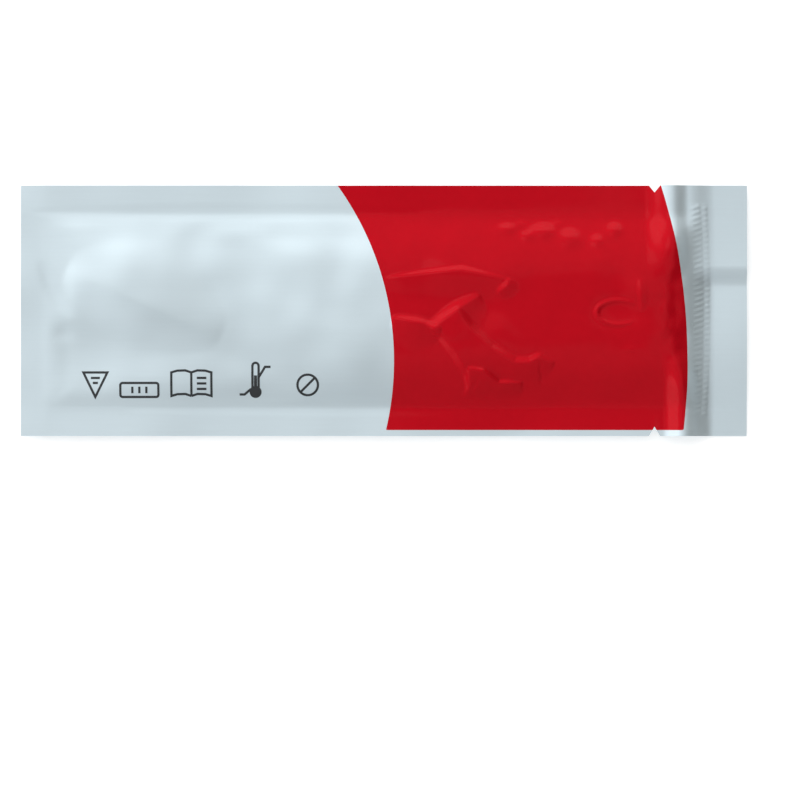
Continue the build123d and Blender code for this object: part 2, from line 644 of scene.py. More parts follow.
@dataclass(frozen=True)
class LooseFilm:
    """Slack of the front film: slow waves and a sideways sag over the drying sachet, and a fine unevenness.

    Attributes:
        seed: Start of the random draws.
        slow_count: Number of slow waves.
        slow_lengths: Shortest and longest of the slow waves.
        slow_steepness: Height of a slow wave as a share of its length.
        slow_turn: Most that a slow wave turns away from the pouch's length, in radians.
        fine_count: Number of fine waves.
        fine_lengths: Shortest and longest of the fine waves.
        fine_steepness: Height of a fine wave as a share of its length.
        sachet_end: Where the slack over the sachet starts to tighten, and where the cassette holds it.
        sag: Height that the sag moves from the upper to the lower half of the film.
        sag_start: Where the sag starts beside the foot seal, and where it is full.
    """

    seed: int = 7
    slow_count: int = 10
    slow_lengths: Point = (16.0, 34.0)
    slow_steepness: float = 0.0017
    slow_turn: float = 0.7
    fine_count: int = 16
    fine_lengths: Point = (6.0, 15.0)
    fine_steepness: float = 0.0016
    sachet_end: Point = (-10.0, 6.0)
    sag: float = 0.5
    sag_start: Point = (-60.0, -36.0)

    def lift(self, x: np.ndarray, y: np.ndarray, inner_y: float) -> np.ndarray:
        """Works out how much the slack raises and sinks the film.

        Args:
            x: Grid of places along the pouch.
            y: Grid of places across the pouch.
            inner_y: Distance of the side seals from the middle.

        Returns:
            Heights on the same grid.
        """
        draws = np.random.default_rng(self.seed)
        slack = 1 - ramp(x, *self.sachet_end)
        total = -self.sag * ramp(x, *self.sag_start) * slack * np.sin(np.pi * np.clip(y / inner_y, -1, 1))
        for _ in range(self.slow_count):
            total += slack * self._wave(x, y, draws, self.slow_lengths, self.slow_steepness, self.slow_turn)
        for _ in range(self.fine_count):
            total += self._wave(x, y, draws, self.fine_lengths, self.fine_steepness, math.pi)
        return total

    @staticmethod
    def _wave(
        x: np.ndarray,
        y: np.ndarray,
        draws: np.random.Generator,
        lengths: Point,
        steepness: float,
        turn: float,
    ) -> np.ndarray:
        """Draws one wave that runs at a random angle.

        Args:
            x: Grid of places along the pouch.
            y: Grid of places across the pouch.
            draws: Source of the random draws.
            lengths: Shortest and longest wave.
            steepness: Height of the wave as a share of its length.
            turn: Most that the wave turns away from the pouch's length, in radians.

        Returns:
            Heights on the same grid.
        """
        length = draws.uniform(*lengths)
        angle = draws.uniform(-turn, turn)
        run = x * math.cos(angle) + y * math.sin(angle)
        return Wave(steepness * length, length, draws.uniform(0, length)).lift(run)


@dataclass(frozen=True)
class RolledFoil:
    """Aluminium foil laminate with a matt lacquer, as rolled.

    The foil is a bright metal, and its lacquer spreads what it mirrors into a soft satin sheen, so slopes
    differ by a few shades of cool grey and nothing is seen mirrored. Rolling leaves faint streaks along the
    web, and handling leaves a fine crinkle.

    Attributes:
        colour: Colour of the brighter streaks.
        shade: Colour of the duller streaks.
        roughness: Middle roughness of the lacquer.
        roughness_spread: How much the streaks change it each way.
        streak_width: Width of a rolling streak, about ten times the real one, which is too fine to show.
        streak_length: Length of a rolling streak.
        crinkle_size: Size of the crinkle's facets.
        crinkle_height: Height of the crinkle.
    """

    colour: str = "#D0DDE3"
    shade: str = "#CAD7DD"
    roughness: float = 0.56
    roughness_spread: float = 0.04
    streak_width: float = 0.5
    streak_length: float = 14.0
    crinkle_size: float = 2.6
    crinkle_height: float = 0.012

    def material(self) -> bpy.types.Material:
        """Builds the foil's material."""
        material, tree = new_material("matt_lacquered_aluminium_foil")
        place = add_node(tree, "ShaderNodeTexCoord").outputs["Object"]
        stretch = (1 / (self.streak_length * MM), 1 / (self.streak_width * MM), 1.0)
        along_web = add_node(tree, "ShaderNodeMapping", inputs={"Vector": place, "Scale": stretch})
        streaks = add_node(
            tree,
            "ShaderNodeTexNoise",
            inputs={"Vector": along_web.outputs[0], "Scale": 1.0, "Detail": 3.0, "Roughness": 0.6},
        )
        crinkle = add_node(
            tree,
            "ShaderNodeTexNoise",
            inputs={
                "Vector": place,
                "Scale": 1 / (self.crinkle_size * MM),
                "Detail": 4.0,
                "Roughness": 0.55,
            },
        )
        tint = add_node(
            tree,
            "ShaderNodeMix",
            {"data_type": "RGBA"},
            {0: streaks.outputs[0], 6: linear_colour(self.shade), 7: linear_colour(self.colour)},
        )
        sheen = add_node(
            tree,
            "ShaderNodeMapRange",
            inputs={
                0: streaks.outputs[0],
                3: self.roughness - self.roughness_spread,
                4: self.roughness + self.roughness_spread,
            },
        )
        relief = add_node(
            tree,
            "ShaderNodeBump",
            inputs={"Height": crinkle.outputs[0], "Distance": self.crinkle_height * MM, "Strength": 1.0},
        )
        surface = add_node(
            tree,
            "ShaderNodeBsdfPrincipled",
            inputs={
                "Base Color": tint.outputs[2],
                "Metallic": 1.0,
                "Roughness": sheen.outputs[0],
                "Normal": relief.outputs[0],
            },
        )
        add_node(tree, "ShaderNodeOutputMaterial", inputs={"Surface": surface.outputs[0]})
        return material


@dataclass(frozen=True)
class RedPrint:
    """Transparent red gravure ink over the foil, under a gloss lacquer.

    The ink hides most of the foil, which still lends it a little metallic depth. The lacquer mirrors the
    lights weakly but crisply, so creases show as lighter bands with clean edges.

    Attributes:
        colour: Colour of the fuller ink.
        shade: Colour of the thinner ink.
        metallic: Share of the foil that shines through.
        roughness: Roughness of the ink.
        coat: Weight of the gloss lacquer.
        coat_roughness: Roughness of the gloss lacquer.
        mottle_size: Size of the ink's mottle, the only trace of the gravure cells, too fine to show.
        mottle_height: Height of the mottle.
    """

    colour: str = "#BA091A"
    shade: str = "#B20818"
    metallic: float = 0.25
    roughness: float = 0.4
    coat: float = 0.14
    coat_roughness: float = 0.07
    mottle_size: float = 1.7
    mottle_height: float = 0.008

    def material(self) -> bpy.types.Material:
        """Builds the red print's material."""
        material, tree = new_material("red_gravure_ink_on_foil")
        place = add_node(tree, "ShaderNodeTexCoord").outputs["Object"]
        mottle = add_node(
            tree,
            "ShaderNodeTexNoise",
            inputs={
                "Vector": place,
                "Scale": 1 / (self.mottle_size * MM),
                "Detail": 3.0,
                "Roughness": 0.5,
            },
        )
        tint = add_node(
            tree,
            "ShaderNodeMix",
            {"data_type": "RGBA"},
            {0: mottle.outputs[0], 6: linear_colour(self.shade), 7: linear_colour(self.colour)},
        )
        relief = add_node(
            tree,
            "ShaderNodeBump",
            inputs={"Height": mottle.outputs[0], "Distance": self.mottle_height * MM, "Strength": 1.0},
        )
        surface = add_node(
            tree,
            "ShaderNodeBsdfPrincipled",
            inputs={
                "Base Color": tint.outputs[2],
                "Metallic": self.metallic,
                "Roughness": self.roughness,
                "Specular IOR Level": 0.0,
                "Normal": relief.outputs[0],
                "Coat Weight": self.coat,
                "Coat Roughness": self.coat_roughness,
            },
        )
        add_node(tree, "ShaderNodeOutputMaterial", inputs={"Surface": surface.outputs[0]})
        return material


@dataclass(frozen=True)
class DarkInk:
    """Opaque black gravure ink, printed in thin lines: flat, a little glossy and not quite even.

    Attributes:
        colour: Colour of full ink.
        thin: Colour where the ink lies thin.
        roughness: Roughness of the ink.
        patch_size: Size of the thin patches.
    """

    colour: str = "#14181B"
    thin: str = "#23292D"
    roughness: float = 0.5
    patch_size: float = 0.6

    def material(self) -> bpy.types.Material:
        """Builds the dark ink's material."""
        material, tree = new_material("black_gravure_ink")
        place = add_node(tree, "ShaderNodeTexCoord").outputs["Object"]
        patches = add_node(
            tree,
            "ShaderNodeTexNoise",
            inputs={"Vector": place, "Scale": 1 / (self.patch_size * MM), "Detail": 2.0},
        )
        tint = add_node(
            tree,
            "ShaderNodeMix",
            {"data_type": "RGBA"},
            {0: patches.outputs[0], 6: linear_colour(self.colour), 7: linear_colour(self.thin)},
        )
        surface = add_node(
            tree,
            "ShaderNodeBsdfPrincipled",
            inputs={"Base Color": tint.outputs[2], "Roughness": self.roughness},
        )
        add_node(tree, "ShaderNodeOutputMaterial", inputs={"Surface": surface.outputs[0]})
        return material


@dataclass(frozen=True)
class RedField:
    """Outline of the red print: one plain curved band across the pouch, between two arcs with one centre.

    Attributes:
        middle: Centre of both arcs.
        radii: Radius of the arc on the foot's side and of the arc on the mouth's side.
        bare_strip: Width of the unprinted strip along the lower long edge.
    """

    middle: Point = (-58.0, -10.0)
    radii: Point = (60.0, 118.5)
    bare_strip: float = 1.2

    def depth(self, x: np.ndarray, y: np.ndarray, edge_y: float) -> np.ndarray:
        """Works out how far inside the print each place lies.

        Args:
            x: Grid of places along the pouch.
            y: Grid of places across the pouch.
            edge_y: Place of the lower long edge.

        Returns:
            Rough distance from the print's outline, positive inside.
        """
        off = np.hypot(x - self.middle[0], y - self.middle[1])
        in_band = np.minimum(off - self.radii[0], self.radii[1] - off)
        return np.minimum(in_band, y - edge_y - self.bare_strip)


@dataclass
class PouchFilm:
    """Both films of the pouch as one closed mesh.

    Attributes:
        node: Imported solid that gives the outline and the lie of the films.
        coarse_step: Spacing of the mesh along the bare foot half of the pouch.
        fine_step: Spacing of the mesh along the creased half.
        fine_from: Where the creased half starts.
        row_step: Spacing of the mesh across the pouch.
        back_stride: How many of the front's steps along the pouch make one of the back's.
        sample_step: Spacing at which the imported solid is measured.
        sample_inset: Distance of the first measured places from the edges.
        probe_height: Distance from the floor at which the measuring rays start.
        blur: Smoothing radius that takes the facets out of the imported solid.
        seal_lift: Height of the seals' underside above the floor.
        floor_gap: Least height of the drooping seals above the floor.
        floor_soft: Height over which a drooping seal comes to rest.
        seal_fade: Distance over which the film's folds fade out towards the seals.
        sharp_angle: Angle between two faces, in degrees, from which their edge looks sharp.
        edges: Waves of the flat seals.
        mouth: Bend of the mouth end.
        lip: Wave of the loose lip.
        ribs: Ribs of the mouth seal.
        notches: The two tear notches.
        slack: Looseness of the front film.
        red_field: Outline of the red print.
        creases: Creases of the front film, along the lines that catch the light.
        swellings: Swellings and hollows of the front film.
        crumples: Crushed patches of the front film.
        seal_lines: Grooves that the sealing jaws leave along the side seals, and a pucker at the foot seal.
        low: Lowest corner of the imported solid.
        high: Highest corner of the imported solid.
        x: Grid of the mesh's places along the pouch.
        y: Grid of the mesh's places across the pouch, before the notches draw it in.
        front: Heights of the front film on the grid, once it is built.
    """

    node: bpy.types.Object
    coarse_step: float = 0.6
    fine_step: float = 0.275
    fine_from: float = -14.0
    row_step: float = 0.27
    back_stride: int = 4
    sample_step: float = 0.5
    sample_inset: float = 0.05
    probe_height: float = 100.0
    blur: float = 1.1
    seal_lift: float = 1.4
    floor_gap: float = 0.05
    floor_soft: float = 0.12
    seal_fade: float = 6.0
    sharp_angle: float = 50.0
    edges: EdgeWaves = EdgeWaves()
    mouth: MouthBend = MouthBend()
    lip: LipWave = LipWave()
    ribs: SealRibs = SealRibs()
    notches: TearNotches = TearNotches()
    slack: LooseFilm = LooseFilm()
    red_field: RedField = RedField()
    creases: tuple[Fold, ...] = (
        # Line of the cassette's upper edge, with its hooked end
        Fold(((0.4, 6.3), (7.9, 7.2), (15.4, 8.0), (20.7, 6.9), (25.0, 6.0)), 0.5, 1.0, 5.0),
        Fold(((22.6, 3.4), (24.6, 4.9), (25.2, 6.4)), 0.5, 1.0, 2.2),
        # Forked crease over the result window
        Fold(((1.6, -1.5), (5.2, -2.2), (7.9, -2.7), (11.4, -3.8)), 0.75, 1.2, 5.0),
        Fold(((9.6, -3.9), (12.7, -1.2), (15.0, 0.4), (19.2, 3.0)), 0.9, 1.8, 6.0),
        Fold(
            (
                (14.2, 0.6), (17.0, -3.3), (21.2, -7.6), (26.0, -10.5),
                (28.9, -10.4), (30.8, -9.4), (33.9, -10.6),
            ),
            0.9,
            1.4,
            5.5,
        ),
        Fold(
            ((8.6, -2.6), (11.6, -5.2), (14.4, -8.4), (17.0, -12.7), (17.2, -15.1), (16.2, -17.2)),
            0.8,
            6.0,
            1.2,
        ),
        Fold(((16.7, -11.4), (19.6, -12.1), (22.8, -14.5), (27.6, -14.5)), 0.85, 0.75, 5.0),
        # Slanting fold above the slack corner
        Fold(((-63.5, 8.0), (-32.5, -5.2)), 1.9, 12.0, 8.0, crest=0.8, taper=1.0),
        # Short creases below the upper notch and beside the sample well
        Fold(((53.3, 24.2), (54.0, 19.0), (55.4, 14.0)), 0.15, 1.2, 1.2),
        Fold(((50.9, 6.2), (51.3, 0.0)), 0.2, 1.4, 0.6),
        # Rim of the cassette's sample well, open towards the mouth
        Fold(oval_arc((46.6, -0.4), (4.3, 2.4), 40, 315, 24), 0.32, 0.6, 0.6),
    )
    swellings: tuple[Bump, ...] = (
        # Slack half over the sachet
        Bump((-31.0, 15.6), (5.0, 2.4), 0.25),
        Bump((-60.0, 17.6), (4.0, 2.0), 0.25),
        Bump((-64.8, -4.4), (2.6, 1.6), -0.25),
        Bump((-57.0, -9.0), (11.0, 7.0), -1.0),
        Bump((-3.0, -9.0), (10.0, 6.0), 0.3),
        # Film over the cassette
        Bump((14.2, -1.6), (2.4, 1.6), 0.12),
        Bump((49.3, -7.8), (1.5, 0.75), 0.13),
        # Bulges of a crushed place above the cassette
        Bump((24.6, 16.6), (1.7, 1.2), 0.45),
        Bump((27.4, 17.6), (1.1, 1.0), 0.4),
        Bump((28.4, 14.9), (1.3, 1.1), 0.26),
        Bump((31.8, 16.2), (2.2, 1.6), 0.52),
        Bump((34.8, 17.8), (1.1, 1.0), 0.4),
        Bump((37.0, 14.3), (2.3, 2.0), 0.48),
        Bump((42.4, 13.8), (1.3, 1.2), 0.28),
        Bump((46.0, 16.5), (1.3, 1.6), 0.5),
    )
    crumples: tuple[Crumple, ...] = (
        Crumple((59.0, 1.0), (5.0, 16.0), 1.7, 0.05, 11),
    )
    seal_lines: tuple[Fold, ...] = (
        # Pucker that runs out of the foot seal
        Fold(
            ((-69.0, 10.0), (-66.8, 4.8), (-64.8, 1.4), (-62.4, -1.6)),
            -0.25,
            4.0,
            1.2,
            crest=0.25,
            taper=1.0,
        ),
        # Edges of the sealing jaws
        Fold(((-70.5, 19.7), (-45.0, 19.4), (-20.0, 19.3), (8.0, 19.3)), -0.13, 2.0, 1.6),
        Fold(((-52.0, -19.4), (-20.0, -19.3), (10.0, -19.4), (42.0, -19.3)), -0.12, 1.2, 1.6),
    )
    low: np.ndarray = field(init=False)
    high: np.ndarray = field(init=False)
    x: np.ndarray = field(init=False)
    y: np.ndarray = field(init=False)
    front: np.ndarray = field(init=False)

    def __post_init__(self) -> None:
        """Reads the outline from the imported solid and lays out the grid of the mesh."""
        low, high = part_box(NODE)
        self.low = np.array(low) / MM
        self.high = np.array(high) / MM
        columns = np.concatenate([
            self._steps(self.low[0], self.fine_from, self.coarse_step),
            self._steps(self.fine_from, self.notches.x, self.fine_step)[1:],
            self._steps(self.notches.x, self.high[0], self.fine_step)[1:],
        ])
        row_count = round((self.high[1] - self.low[1]) / self.row_step) + 1
        rows = np.linspace(self.low[1], self.high[1], row_count)
        self.x, self.y = np.meshgrid(columns, rows, indexing="ij")

    def _steps(self, low: float, high: float, step: float) -> np.ndarray:
        """Evenly spaced places from low to high, about a step apart, in whole steps of the back film."""
        count = self.back_stride * round((high - low) / step / self.back_stride)
        return np.linspace(low, high, count + 1)

    def _solid_heights(self, face: Face) -> np.ndarray:
        """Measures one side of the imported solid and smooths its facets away.

        Args:
            face: Film to measure.

        Returns:
            Heights on the grid.
        """
        mesh = self.node.data
        tree = BVHTree.FromPolygons(
            [v.co for v in mesh.vertices], [tuple(p.vertices) for p in mesh.polygons]
        )
        start_z = self.probe_height * face.value
        ray = Vector((0, 0, -face.value))
        columns, rows = (
            np.arange(self.low[i] + self.sample_inset, self.high[i], self.sample_step) for i in range(2)
        )
        heights = np.full((len(columns), len(rows)), np.nan)
        for i, column in enumerate(columns):
            for j, row in enumerate(rows):
                hit = tree.ray_cast(Vector((column, row, start_z)) * MM, ray)[0]
                if hit:
                    heights[i, j] = hit.z / MM
        # A ray that misses the solid, as in a tear notch, gets the usual height of the side seal
        side_seal = heights[:, 1]
        heights = np.where(np.isnan(heights), np.nanmedian(side_seal), heights)
        along = smoothing_weights(self.x[:, 0], columns, self.blur)
        across = smoothing_weights(self.y[0], rows, self.blur)
        return along @ heights @ across.T

    def _seal_share(self) -> np.ndarray:
        """Share of the seal at each place: 0 over the contents, 1 at the inner seal line and beyond."""
        side = np.abs(self.y) - (self.high[1] - self.edges.side_seal)
        foot = self.low[0] + self.edges.foot_seal - self.x
        mouth = self.x - self.ribs.band[0]
        return ramp(np.maximum(np.maximum(side, foot), mouth), -self.seal_fade, 0.0)

    def _shared_lift(self) -> np.ndarray:
        """Bends that both films share: waves and lines of the seals, and the mouth's bend, lip and ribs."""
        waves = self._seal_share() * self.edges.lift(self.x, self.y, self.low, self.high)
        shapes = (self.mouth, self.lip, *self.seal_lines)
        bends = waves + sum(shape.lift(self.x, self.y) for shape in shapes)
        lowest = self.floor_gap - self.seal_lift
        resting = lowest + self.floor_soft * np.logaddexp(0.0, (bends - lowest) / self.floor_soft)
        return resting + self.ribs.lift(self.x, self.y, self.high[1])

    def _front_lift(self) -> np.ndarray:
        """Folds, swellings, crushed patches and slack of the front film alone."""
        shapes = (*self.creases, *self.swellings, *self.crumples)
        folds = sum(shape.lift(self.x, self.y) for shape in shapes)
        folds = folds + self.slack.lift(self.x, self.y, self.high[1] - self.edges.side_seal)
        return folds * (1 - self._seal_share() ** 2)

    def _print_faces(
        self, points: list[np.ndarray], faces: list[list[int]], depth: np.ndarray
    ) -> tuple[list[list[int]], list[int], Cuts]:
        """Cuts the faces that the print's outline crosses, so that its edge is clean.

        Args:
            points: Points of the mesh, which gets the points of the cuts.
            faces: Point numbers of the front film's faces.
            depth: Distance inside the print of each of the front film's points.

        Returns:
            The faces with the cut ones divided, the finish of each face, and the points of the cuts by the
            edges that they lie on.
        """
        cut_points: Cuts = {}
        divided: list[list[int]] = []
        finishes: list[int] = []

        def between(a: int, b: int) -> int:
            """Finds the point where the print's outline crosses an edge, and makes it the first time.

            Args:
                a: Point number of one end of the edge.
                b: Point number of its other end.

            Returns:
                Point number of the crossing.
            """
            key = (min(a, b), max(a, b))
            if key not in cut_points:
                share = depth[a] / (depth[a] - depth[b])
                points.append(points[a] + (points[b] - points[a]) * share)
                cut_points[key] = len(points) - 1
            return cut_points[key]

        for corners in faces:
            parts: dict[bool, list[int]] = {True: [], False: []}
            for a, b in zip(corners, corners[1:] + corners[:1]):
                parts[bool(depth[a] > 0)].append(a)
                if (depth[a] > 0) != (depth[b] > 0):
                    crossing = between(a, b)
                    parts[True].append(crossing)
                    parts[False].append(crossing)
            for red, part in parts.items():
                if part:
                    divided.append(part)
                    finishes.append((Finish.RED if red else Finish.FOIL).value)
        return divided, finishes, cut_points

    def _back_faces(self, number: np.ndarray) -> list[list[int]]:
        """Makes the back film's faces, longer than the front's but with every point of the rim.

        Args:
            number: Point numbers of the back film on the grid.

        Returns:
            Point numbers of the faces, which face down.
        """
        columns, rows = number.shape
        faces: list[list[int]] = []
        for i in range(0, columns - 1, self.back_stride):
            stretch = number[i : i + self.back_stride + 1].tolist()
            ends = [stretch[0], stretch[-1]]
            for j in range(rows - 1):
                near = [column[j] for column in (stretch if j == 0 else ends)]
                far = [column[j + 1] for column in (stretch if j == rows - 2 else ends)]
                faces.append([*far, *reversed(near)])
        return faces

    @staticmethod
    def _rim_faces(number: np.ndarray, cuts: Cuts) -> list[list[int]]:
        """Makes the faces of the cut edge, which join the front film to the back film.

        Args:
            number: Point numbers of the front film on the grid.
            cuts: Points of the print's outline, by the edges that they lie on.

        Returns:
            Point numbers of the faces, which face outward.
        """
        back = number.size
        rim = [*number[:, 0], *number[-1, 1:], *number[-2::-1, -1], *number[0, -2:0:-1]]
        faces: list[list[int]] = []
        for a, b in zip(rim, rim[1:] + rim[:1]):
            cut = [cuts[edge] for edge in ((a, b), (b, a)) if edge in cuts]
            faces.append([a + back, b + back, b, *cut, a])
        return faces

    def build(self, foil: bpy.types.Material, red: bpy.types.Material) -> bpy.types.Object:
        """Builds both films as one closed mesh.

        Args:
            foil: Finish of the bare foil.
            red: Finish of the red print.

        Returns:
            The pouch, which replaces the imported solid.
        """
        shared = self._shared_lift()
        self.front = self._solid_heights(Face.FRONT) + shared + self._front_lift()
        back = np.maximum(self._solid_heights(Face.BACK) + shared * self._seal_share(), 0.0)
        y = self.notches.draw_in(self.x, self.y, self.high[1])
        films = [np.stack([self.x, y, z], -1).reshape(-1, 3) for z in (self.front, back)]
        points = list(np.concatenate(films))
        number = np.arange(self.x.size).reshape(self.x.shape)
        quads = np.stack([number[:-1, :-1], number[1:, :-1], number[1:, 1:], number[:-1, 1:]], -1)
        depth = self.red_field.depth(self.x, y, self.low[1]).reshape(-1)
        faces, finishes, cuts = self._print_faces(points, quads.reshape(-1, 4).tolist(), depth)
        faces += self._back_faces(number + number.size)
        faces += self._rim_faces(number, cuts)
        piece = mesh_object("pouch_film", *drop_spare_points(np.array(points), faces), (foil, red))
        slots = np.full(len(faces), Finish.FOIL.value, dtype=np.int32)
        slots[: len(finishes)] = finishes
        piece.data.polygons.foreach_set("material_index", slots)
        piece.data.set_sharp_from_angle(angle=math.radians(self.sharp_angle))
        return piece

    def height_at(self, x: float, y: float) -> float:
        """Height of the front film at one place.

        Args:
            x: Place along the pouch.
            y: Place across the pouch.

        Returns:
            Its height.
        """
        columns, rows = self.x[:, 0], self.y[0]
        i = int(np.clip(np.searchsorted(columns, x) - 1, 0, len(columns) - 2))
        j = int(np.clip(np.searchsorted(rows, y) - 1, 0, len(rows) - 2))
        u = (x - columns[i]) / (columns[i + 1] - columns[i])
        v = (y - rows[j]) / (rows[j + 1] - rows[j])
        near, far = self.front[i, j : j + 2], self.front[i + 1, j : j + 2]
        blend = near * (1 - u) + far * u
        return float(blend[0] * (1 - v) + blend[1] * v)


@dataclass
class Pictograms:
    """Row of small line pictograms, printed in dark ink near the lower long edge.

    Attributes:
        film: Film that carries the ink.
        line: Width of a printed line.
        bold: Width of a heavy line.
        ink: Height of the ink above the film, and depth of its underside below it.
        step: Longest stretch of a line between two points.
        mitre_limit: Least divisor of a line's half-width at a corner, which keeps a sharp mitre short.
        dot_corners: Number of corners of a printed dot.
        circle_corners: Number of corners of a printed circle.
        sharp_angle: Angle between two faces, in degrees, from which their edge looks sharp.
        points: Points of the ink, filled as the signs are drawn.
        faces: Point numbers of the ink's faces, filled as the signs are drawn.
    """

    film: PouchFilm
    line: float = 0.46
    bold: float = 0.62
    ink: float = 0.03
    step: float = 0.4
    mitre_limit: float = 0.4
    dot_corners: int = 24
    circle_corners: int = 30
    sharp_angle: float = 40.0
    points: list[tuple[float, float, float]] = field(default_factory=list)
    faces: list[list[int]] = field(default_factory=list)

    def _ink_point(self, place: Vector) -> None:
        """Adds a point on top of the ink and one below it, just inside the film."""
        z = self.film.height_at(*place)
        self.points += [(*place, z + self.ink), (*place, z - self.ink)]

    def _stroke(self, path: Path, width: float, closed: bool = False) -> None:
        """Lays one printed line on the film, with mitred corners.

        Args:
            path: Corners of the line.
            width: Width of the line.
            closed: Whether the line returns to its start.
        """
        ends = [*path, path[0]] if closed else list(path)
        line: list[Vector] = []
        for a, b in zip(ends, ends[1:]):
            pieces = max(1, math.ceil(math.dist(a, b) / self.step))
            line += [Vector(a).lerp(Vector(b), i / pieces) for i in range(pieces)]
        if not closed:
            line.append(Vector(ends[-1]))
        base = len(self.points)
        last = len(line) - 1
        for i, middle in enumerate(line):
            before = line[i - 1] if closed or i else middle
            after = line[(i + 1) % len(line)] if closed or i < last else middle
            ahead = (after - middle).normalized() if after != middle else (middle - before).normalized()
            behind = (middle - before).normalized() if before != middle else ahead
            across = Vector((-(ahead + behind).y, (ahead + behind).x)).normalized()
            half = width / 2 / max(across.dot(Vector((-ahead.y, ahead.x))), self.mitre_limit)
            for side in (-1, 1):
                self._ink_point(middle + across * half * side)
        count = len(line)
        for i in range(count if closed else count - 1):
            a = base + 4 * i
            b = base + 4 * ((i + 1) % count)
            self.faces += [
                [a, b, b + 2, a + 2],
                [a + 1, a + 3, b + 3, b + 1],
                [a, a + 1, b + 1, b],
                [a + 2, b + 2, b + 3, a + 3],
            ]
        if not closed:
            end = base + 4 * last
            self.faces += [[base, base + 2, base + 3, base + 1], [end, end + 1, end + 3, end + 2]]

    def _disc(self, middle: Point, radius: float) -> None:
        """Lays one printed dot on the film.

        Args:
            middle: Centre of the dot.
            radius: Radius of the dot.
        """
        base = len(self.points)
        rim = ring(middle, radius, self.dot_corners)
        for place in (middle, *rim):
            self._ink_point(Vector(place))
        for i in range(len(rim)):
            a = base + 2 + 2 * i
            b = base + 2 + 2 * ((i + 1) % len(rim))
            self.faces += [[base, a, b], [base + 1, b + 1, a + 1], [a, a + 1, b + 1, b]]

    def _triangle(self) -> None:
        """Triangle on its tip, with two short bars."""
        middle, half, low, high = -57.6, 2.4, -17.2, -12.3
        self._stroke(((middle - half, high), (middle, low), (middle + half, high)), self.line, closed=True)
        for reach, y in ((0.9, -13.4), (0.5, -14.4)):
            self._stroke(((middle - reach, y), (middle + reach, y)), self.line)

    def _plate(self) -> None:
        """Flat frame with round corners and three upright bars."""
        left, right, low, high = -52.6, -45.0, -17.2, -14.4
        radius, bar_gap = 0.45, 0.75
        corners = ((right, high, 0), (left, high, 90), (left, low, 180), (right, low, 270))
        frame: list[Point] = []
        for x, y, start in corners:
            inward_x = radius if x == left else -radius
            inward_y = radius if y == low else -radius
            frame += oval_arc((x + inward_x, y + inward_y), (radius, radius), start, start + 90, 5)
        self._stroke(tuple(frame), self.line, closed=True)
        for x in (-50.2, -48.8, -47.4):
            self._stroke(((x, low + bar_gap), (x, high - bar_gap)), self.line)

    def _book(self) -> None:
        """Open book with lines on its right-hand page."""
        spine, low, high = -38.4, -17.0, -12.3
        for side in (-1, 1):
            page = ((0.0, low), (1.2, low + 0.4), (2.8, low + 0.35), (4.0, low), (4.0, high))
            top = ((2.8, high + 0.35), (1.2, high + 0.4), (0.0, high))
            self._stroke(tuple((spine + side * x, y) for x, y in page + top), self.line)
        self._stroke(((spine, low), (spine, high)), self.line)
        for y in (-13.4, -14.5, -15.6):
            self._stroke(((spine + 1.1, y), (spine + 3.0, y)), self.line)

    def _thermometer(self) -> None:
        """Thermometer between a high and a low mark."""
        x, low, high = -25.6, -16.2, -11.0
        tube, bulb = 0.62, 1.2
        neck, filled = low + 0.6, high - 1.9
        high_mark, low_mark = high - 0.2, low - 0.5
        top = oval_arc((x, high), (tube, tube), 180, 0, 12)
        self._stroke(((x - tube, neck), *top, (x + tube, neck)), self.line)
        self._disc((x, low), bulb)
        self._stroke(((x, neck), (x, filled)), self.bold)
        self._stroke(((x + tube, high - 2.3), (x + 1.9, high_mark), (x + 3.0, high_mark)), self.line)
        self._stroke(((x - 0.9, neck), (x - 2.2, low_mark), (x - 3.2, low_mark)), self.line)

    def _crossed_circle(self) -> None:
        """Circle with a bar through it."""
        middle, radius = (-15.2, -14.8), 2.05
        self._stroke(ring(middle, radius, self.circle_corners), self.line, closed=True)
        reach = radius * math.sqrt(0.5)
        bar = tuple((middle[0] + side * reach, middle[1] + side * reach) for side in (-1, 1))
        self._stroke(bar, self.line)

    def build(self, ink: bpy.types.Material) -> bpy.types.Object:
        """Builds the whole row as one piece.

        Args:
            ink: Finish of the ink.

        Returns:
            The printed lines.
        """
        for draw in (self._triangle, self._plate, self._book, self._thermometer, self._crossed_circle):
            draw()
        piece = mesh_object("pictogram_ink", np.array(self.points), self.faces, (ink,))
        piece.data.set_sharp_from_angle(angle=math.radians(self.sharp_angle))
        return piece


